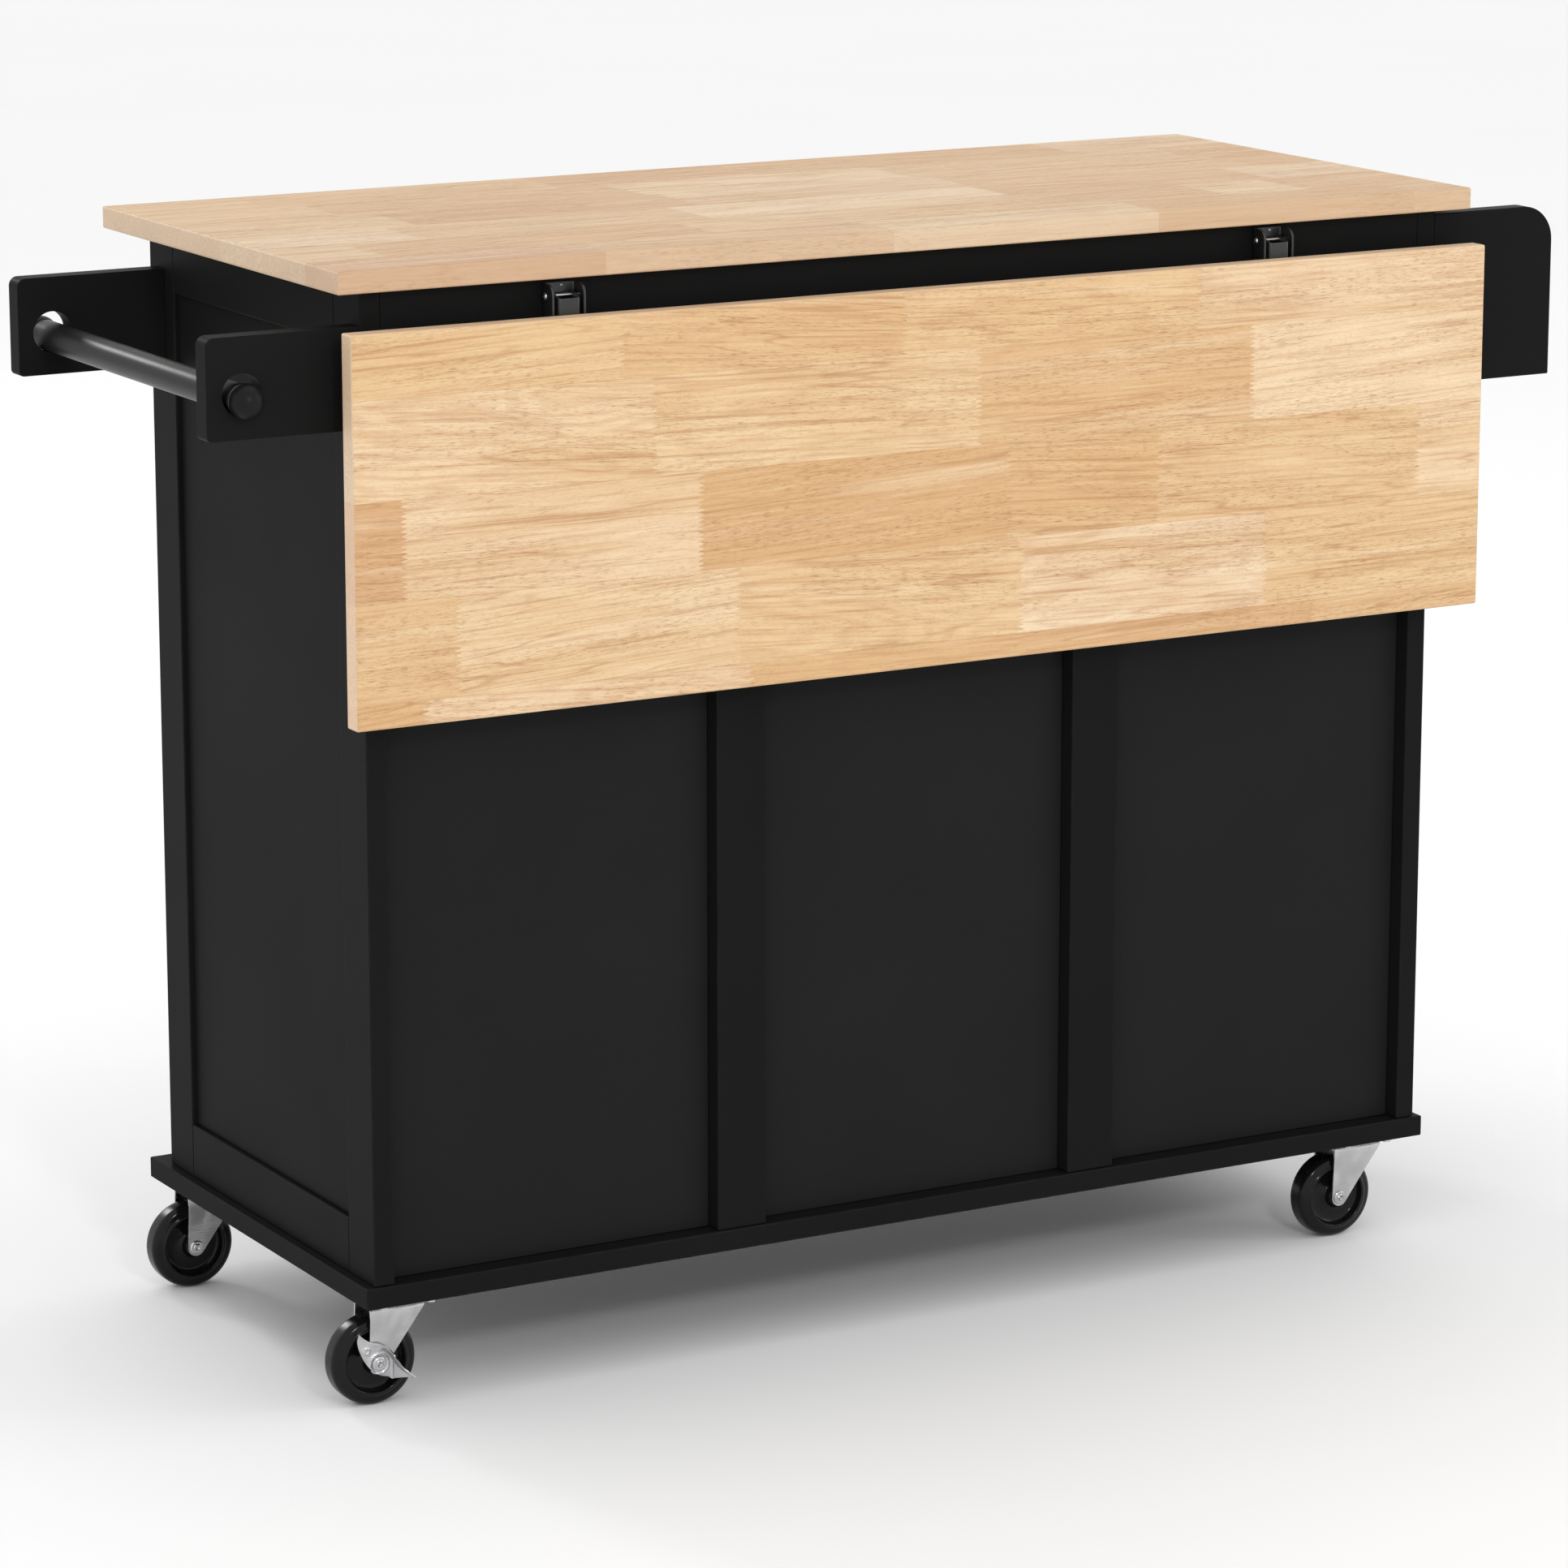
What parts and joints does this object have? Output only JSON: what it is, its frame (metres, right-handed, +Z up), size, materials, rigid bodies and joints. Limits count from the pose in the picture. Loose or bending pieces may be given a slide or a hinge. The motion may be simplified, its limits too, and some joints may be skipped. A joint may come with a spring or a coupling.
{
  "type": "kitchen island cart",
  "caption": "Panelled kitchen island cart on casters with a wooden worktop, fold-up drop leaf, towel bar, spice rack, drawers, doors and open shelves.",
  "frame": {"origin": "middle of the cart's footprint box, on the floor under the wheels", "axes": "+Z up, +X along the worktop towards the spice rack, +Y towards the doors and drawers; the drop leaf is on the -Y side"},
  "size_m": [1.286, 0.49, 0.943],
  "materials": {
    "rubberwood": "clear satin lacquer over jointed staves",
    "black_paint": "satin black paint on wood board",
    "black_steel": "satin black coated sheet steel",
    "zinc": "bright zinc plated pressed steel",
    "wheel_black": "glossy black moulded wheel",
    "drawer_wood": "plain unstained drawer wood",
    "nickel": "satin nickel"
  },
  "bodies": {
    "cabinet": {"top_board": "rubberwood", "base_board": "black_paint", "left_rear_stile": "black_paint", "left_front_stile": "black_paint", "left_top_rail": "black_paint", "left_bottom_rail": "black_paint", "left_panel": "black_paint", "left_partition": "black_paint", "right_rear_stile": "black_paint", "right_front_stile": "black_paint", "right_top_rail": "black_paint", "right_bottom_rail": "black_paint", "right_panel": "black_paint", "right_partition": "black_paint", "back_top_rail": "black_paint", "back_left_stile": "black_paint", "back_right_stile": "black_paint", "back_left_panel": "black_paint", "back_middle_panel": "black_paint", "back_right_panel": "black_paint", "lower_shelf": "black_paint", "upper_shelf": "black_paint", "left_bracket_wall_channel": "black_steel", "right_bracket_wall_channel": "black_steel", "rear_towel_arm": "black_paint", "front_towel_arm": "black_paint", "rear_rack_end": "black_paint", "front_rack_end": "black_paint", "rack_shelf": "black_paint", "rack_rail": "black_paint", "rear_left_caster_plate": "zinc", "rear_right_caster_plate": "zinc", "front_left_caster_plate": "zinc", "front_right_caster_plate": "zinc"},
    "drop_leaf": {"drop_leaf": "rubberwood", "left_bracket_arm": "black_steel", "right_bracket_arm": "black_steel"},
    "left_brace": {"left_bracket_brace": "black_steel"},
    "right_brace": {"right_bracket_brace": "black_steel"},
    "towel_bar": {"towel_bar": "black_paint"},
    "left_drawer": {"left_drawer_front": "black_paint", "left_drawer_box": "drawer_wood", "left_drawer_knob": "nickel"},
    "left_door": {"left_door": "black_paint", "left_door_knob": "nickel"},
    "right_drawer": {"right_drawer_front": "black_paint", "right_drawer_box": "drawer_wood", "right_drawer_knob": "nickel"},
    "right_door": {"right_door": "black_paint", "right_door_knob": "nickel"},
    "rear_left_fork": {"rear_left_caster_fork": "zinc"},
    "rear_left_wheel": {"rear_left_wheel": "wheel_black"},
    "rear_left_lever": {"rear_left_brake_lever": "zinc"},
    "rear_right_fork": {"rear_right_caster_fork": "zinc"},
    "rear_right_wheel": {"rear_right_wheel": "wheel_black"},
    "front_left_fork": {"front_left_caster_fork": "zinc"},
    "front_left_wheel": {"front_left_wheel": "wheel_black"},
    "front_right_fork": {"front_right_caster_fork": "zinc"},
    "front_right_wheel": {"front_right_wheel": "wheel_black"},
    "front_right_lever": {"front_right_brake_lever": "zinc"}
  },
  "joints": [
    {"name": "leaf_fold", "type": "hinge", "parent": "cabinet", "child": "drop_leaf", "pos_m": [0.003, -0.2118, 0.9098], "axis": [-1, 0, 0], "range_deg": [0, 90]},
    {"name": "left_brace_fold", "type": "hinge", "parent": "cabinet", "child": "left_brace", "pos_m": [-0.3347, -0.2118, 0.8098], "axis": [-1, 0, 0], "range_deg": [0, 130]},
    {"name": "right_brace_fold", "type": "hinge", "parent": "cabinet", "child": "right_brace", "pos_m": [0.3433, -0.2118, 0.8098], "axis": [-1, 0, 0], "range_deg": [0, 130]},
    {"name": "towel_bar_spin", "type": "hinge", "parent": "cabinet", "child": "towel_bar", "pos_m": [-0.6125, -0.0063, 0.8462], "axis": [0, 1, 0], "continuous": true},
    {"name": "left_drawer_slide", "type": "slide", "parent": "cabinet", "child": "left_drawer", "axis": [0, 1, 0], "range_m": [0, 0.28]},
    {"name": "right_drawer_slide", "type": "slide", "parent": "cabinet", "child": "right_drawer", "axis": [0, 1, 0], "range_m": [0, 0.28]},
    {"name": "left_door_swing", "type": "hinge", "parent": "cabinet", "child": "left_door", "pos_m": [-0.5005, 0.2225, 0.44], "axis": [0, 0, 1], "range_deg": [0, 110]},
    {"name": "right_door_swing", "type": "hinge", "parent": "cabinet", "child": "right_door", "pos_m": [0.5065, 0.2225, 0.44], "axis": [0, 0, -1], "range_deg": [0, 110]},
    {"name": "rear_left_swivel", "type": "hinge", "parent": "cabinet", "child": "rear_left_fork", "pos_m": [-0.4734, -0.1705, 0.0845], "axis": [0, 0, 1], "continuous": true},
    {"name": "rear_left_roll", "type": "hinge", "parent": "rear_left_fork", "child": "rear_left_wheel", "pos_m": [-0.5, -0.1705, 0.0378], "axis": [0, 1, 0], "continuous": true},
    {"name": "rear_left_brake", "type": "hinge", "parent": "rear_left_fork", "child": "rear_left_lever", "pos_m": [-0.5, -0.1875, 0.0378], "axis": [0, 1, 0], "range_deg": [0, 20]},
    {"name": "rear_right_swivel", "type": "hinge", "parent": "cabinet", "child": "rear_right_fork", "pos_m": [0.4794, -0.1705, 0.0845], "axis": [0, 0, 1], "continuous": true},
    {"name": "rear_right_roll", "type": "hinge", "parent": "rear_right_fork", "child": "rear_right_wheel", "pos_m": [0.4528, -0.1705, 0.0378], "axis": [0, 1, 0], "continuous": true},
    {"name": "front_left_swivel", "type": "hinge", "parent": "cabinet", "child": "front_left_fork", "pos_m": [-0.4734, 0.1945, 0.0845], "axis": [0, 0, 1], "continuous": true},
    {"name": "front_left_roll", "type": "hinge", "parent": "front_left_fork", "child": "front_left_wheel", "pos_m": [-0.5, 0.1945, 0.0378], "axis": [0, 1, 0], "continuous": true},
    {"name": "front_right_swivel", "type": "hinge", "parent": "cabinet", "child": "front_right_fork", "pos_m": [0.4794, 0.1945, 0.0845], "axis": [0, 0, 1], "continuous": true},
    {"name": "front_right_roll", "type": "hinge", "parent": "front_right_fork", "child": "front_right_wheel", "pos_m": [0.4528, 0.1945, 0.0378], "axis": [0, 1, 0], "continuous": true},
    {"name": "front_right_brake", "type": "hinge", "parent": "front_right_fork", "child": "front_right_lever", "pos_m": [0.4528, 0.2115, 0.0378], "axis": [0, 1, 0], "range_deg": [0, 20]}
  ],
  "couplings": [
    {"joint": "left_brace_fold", "follows": "leaf_fold", "ratio": 1.443},
    {"joint": "right_brace_fold", "follows": "leaf_fold", "ratio": 1.443}
  ]
}
